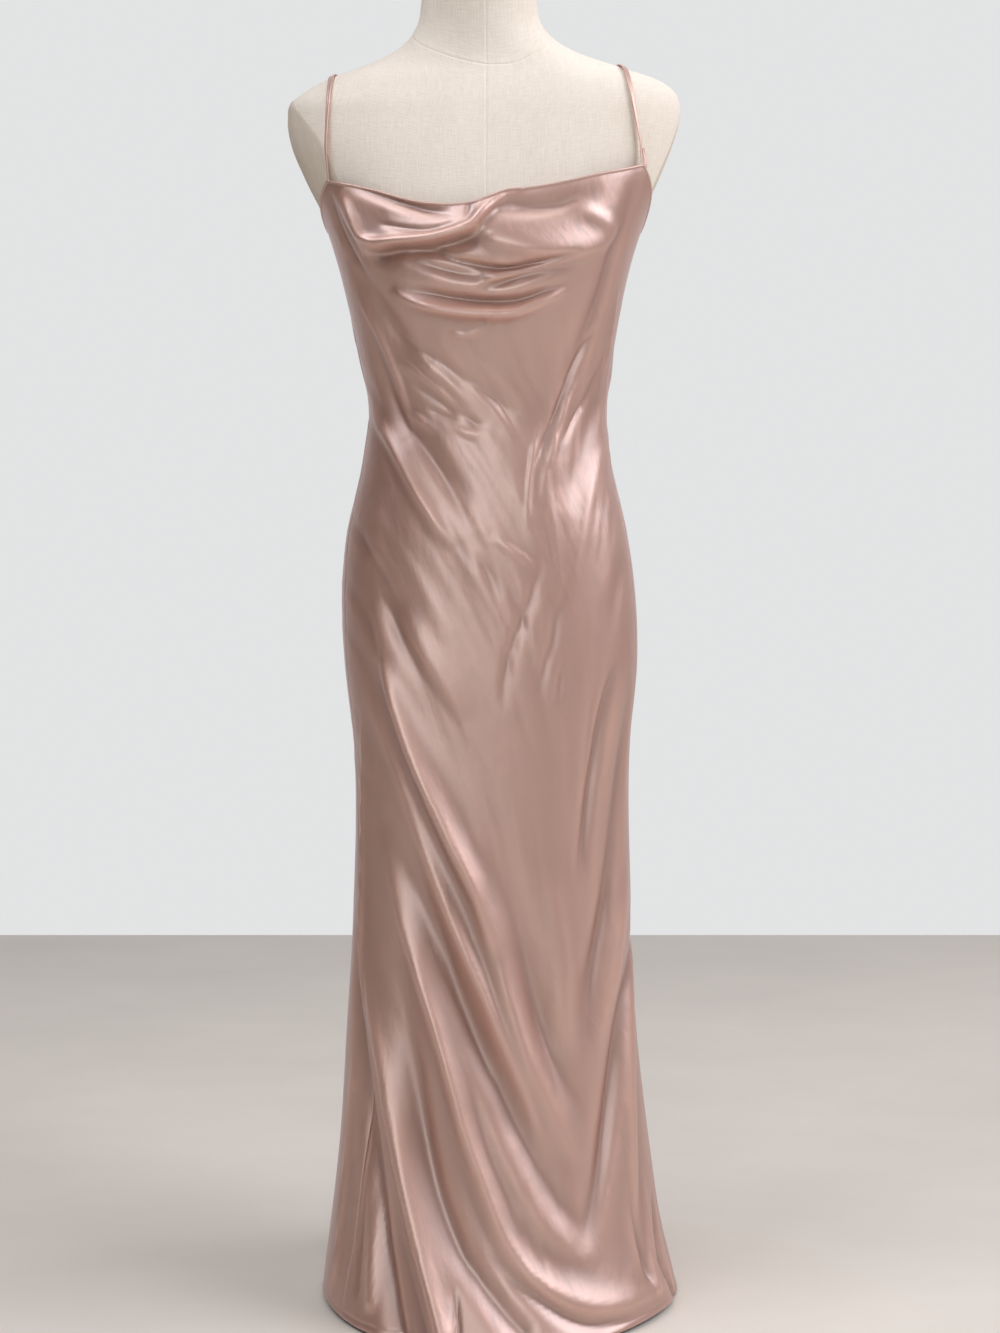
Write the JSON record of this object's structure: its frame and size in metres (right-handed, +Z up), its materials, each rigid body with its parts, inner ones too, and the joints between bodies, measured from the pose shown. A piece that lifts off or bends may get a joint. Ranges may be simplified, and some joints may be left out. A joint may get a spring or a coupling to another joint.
{
  "type": "slip dress on dress form",
  "caption": "Full-length bias-cut satin slip dress with a draped neckline and narrow straps, hanging on a linen-covered dress form with a pole and a round base.",
  "frame": {"origin": "centre of the round base's underside, on the floor", "axes": "+Z up along the pole, -Y towards the front of the dress, +X towards the right of someone who faces it"},
  "size_m": [0.4328, 0.3924, 1.497],
  "materials": {
    "satin": "dusty rose satin with a soft gloss",
    "strap_satin": "dusty rose satin, folded into a flat strap",
    "form_linen": "natural unbleached linen, matt",
    "pole_steel": "brushed",
    "base_paint": "black powder coat"
  },
  "bodies": {
    "root": {"dress_front": "satin", "dress_back": "satin", "strap_left": "strap_satin", "strap_right": "strap_satin", "form_torso": "form_linen", "stand_pole": "pole_steel", "stand_base": "base_paint"}
  },
  "joints": []
}
